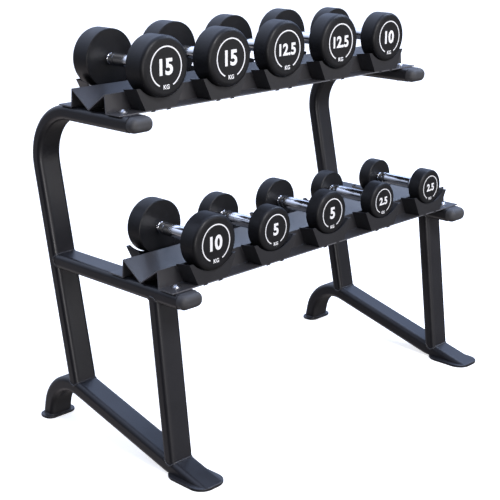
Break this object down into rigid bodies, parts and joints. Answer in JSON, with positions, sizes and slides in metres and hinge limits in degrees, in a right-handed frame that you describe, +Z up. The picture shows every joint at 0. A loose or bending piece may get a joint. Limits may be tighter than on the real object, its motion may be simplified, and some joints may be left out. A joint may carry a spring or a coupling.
{
  "type": "dumbbell rack",
  "caption": "Free-standing two-tier rack of bent flat-oval tube with cradle trays, loaded with round rubber dumbbells that each lift off",
  "frame": {"origin": "on the floor, under the middle of the whole loaded rack", "axes": "+X along the trays, -Y towards the front, +Z up"},
  "size_m": [1.178, 0.648, 1.0576],
  "materials": {
    "frame_paint": "satin black powder coat",
    "tray_paint": "satin black powder coat",
    "saddle_paint": "satin black powder coat",
    "cap_plastic": "moulded, fine texture",
    "foot_rubber": "matte",
    "zinc": "zinc plated",
    "handle_chrome": "polished",
    "head_rubber": "semi-matte",
    "core_steel": "hidden"
  },
  "bodies": {
    "rack": {"left_base_tube": "frame_paint", "left_rear_upright": "frame_paint", "left_lower_arm": "frame_paint", "left_front_leg": "frame_paint", "left_upper_arm_cap": "cap_plastic", "left_lower_arm_cap": "cap_plastic", "left_front_foot_plate": "frame_paint", "left_rear_foot_plate": "frame_paint", "left_front_foot_pad": "foot_rubber", "left_rear_foot_pad": "foot_rubber", "right_base_tube": "frame_paint", "right_rear_upright": "frame_paint", "right_lower_arm": "frame_paint", "right_front_leg": "frame_paint", "right_upper_arm_cap": "cap_plastic", "right_lower_arm_cap": "cap_plastic", "right_front_foot_plate": "frame_paint", "right_rear_foot_plate": "frame_paint", "right_front_foot_pad": "foot_rubber", "right_rear_foot_pad": "foot_rubber", "upper_tray": "tray_paint", "upper_front_saddles": "saddle_paint", "upper_rear_saddles": "saddle_paint", "lower_tray": "tray_paint", "lower_front_saddles": "saddle_paint", "lower_rear_saddles": "saddle_paint", "tray_bolts": "zinc", "tray_washers": "zinc", "tray_nuts": "frame_paint"},
    "top_dumbbell_1": {"top_dumbbell_1_handle": "handle_chrome", "top_dumbbell_1_head_covers": "head_rubber", "top_dumbbell_1_head_cores": "core_steel"},
    "top_dumbbell_2": {"top_dumbbell_2_handle": "handle_chrome", "top_dumbbell_2_head_covers": "head_rubber", "top_dumbbell_2_head_cores": "core_steel"},
    "top_dumbbell_3": {"top_dumbbell_3_handle": "handle_chrome", "top_dumbbell_3_head_covers": "head_rubber", "top_dumbbell_3_head_cores": "core_steel"},
    "top_dumbbell_4": {"top_dumbbell_4_handle": "handle_chrome", "top_dumbbell_4_head_covers": "head_rubber", "top_dumbbell_4_head_cores": "core_steel"},
    "top_dumbbell_5": {"top_dumbbell_5_handle": "handle_chrome", "top_dumbbell_5_head_covers": "head_rubber", "top_dumbbell_5_head_cores": "core_steel"},
    "bottom_dumbbell_1": {"bottom_dumbbell_1_handle": "handle_chrome", "bottom_dumbbell_1_head_covers": "head_rubber", "bottom_dumbbell_1_head_cores": "core_steel"},
    "bottom_dumbbell_2": {"bottom_dumbbell_2_handle": "handle_chrome", "bottom_dumbbell_2_head_covers": "head_rubber", "bottom_dumbbell_2_head_cores": "core_steel"},
    "bottom_dumbbell_3": {"bottom_dumbbell_3_handle": "handle_chrome", "bottom_dumbbell_3_head_covers": "head_rubber", "bottom_dumbbell_3_head_cores": "core_steel"},
    "bottom_dumbbell_4": {"bottom_dumbbell_4_handle": "handle_chrome", "bottom_dumbbell_4_head_covers": "head_rubber", "bottom_dumbbell_4_head_cores": "core_steel"},
    "bottom_dumbbell_5": {"bottom_dumbbell_5_handle": "handle_chrome", "bottom_dumbbell_5_head_covers": "head_rubber", "bottom_dumbbell_5_head_cores": "core_steel"}
  },
  "joints": [
    {"name": "top_dumbbell_1_lift", "type": "slide", "parent": "rack", "child": "top_dumbbell_1", "axis": [0, -0.7071, 0.7071], "range_m": [0, 0.4]},
    {"name": "top_dumbbell_2_lift", "type": "slide", "parent": "rack", "child": "top_dumbbell_2", "axis": [0, -0.7071, 0.7071], "range_m": [0, 0.4]},
    {"name": "top_dumbbell_3_lift", "type": "slide", "parent": "rack", "child": "top_dumbbell_3", "axis": [0, -0.7071, 0.7071], "range_m": [0, 0.4]},
    {"name": "top_dumbbell_4_lift", "type": "slide", "parent": "rack", "child": "top_dumbbell_4", "axis": [0, -0.7071, 0.7071], "range_m": [0, 0.4]},
    {"name": "top_dumbbell_5_lift", "type": "slide", "parent": "rack", "child": "top_dumbbell_5", "axis": [0, -0.7071, 0.7071], "range_m": [0, 0.4]},
    {"name": "bottom_dumbbell_1_lift", "type": "slide", "parent": "rack", "child": "bottom_dumbbell_1", "axis": [0, -0.7071, 0.7071], "range_m": [0, 0.4]},
    {"name": "bottom_dumbbell_2_lift", "type": "slide", "parent": "rack", "child": "bottom_dumbbell_2", "axis": [0, -0.7071, 0.7071], "range_m": [0, 0.4]},
    {"name": "bottom_dumbbell_3_lift", "type": "slide", "parent": "rack", "child": "bottom_dumbbell_3", "axis": [0, -0.7071, 0.7071], "range_m": [0, 0.4]},
    {"name": "bottom_dumbbell_4_lift", "type": "slide", "parent": "rack", "child": "bottom_dumbbell_4", "axis": [0, -0.7071, 0.7071], "range_m": [0, 0.4]},
    {"name": "bottom_dumbbell_5_lift", "type": "slide", "parent": "rack", "child": "bottom_dumbbell_5", "axis": [0, -0.7071, 0.7071], "range_m": [0, 0.4]}
  ]
}
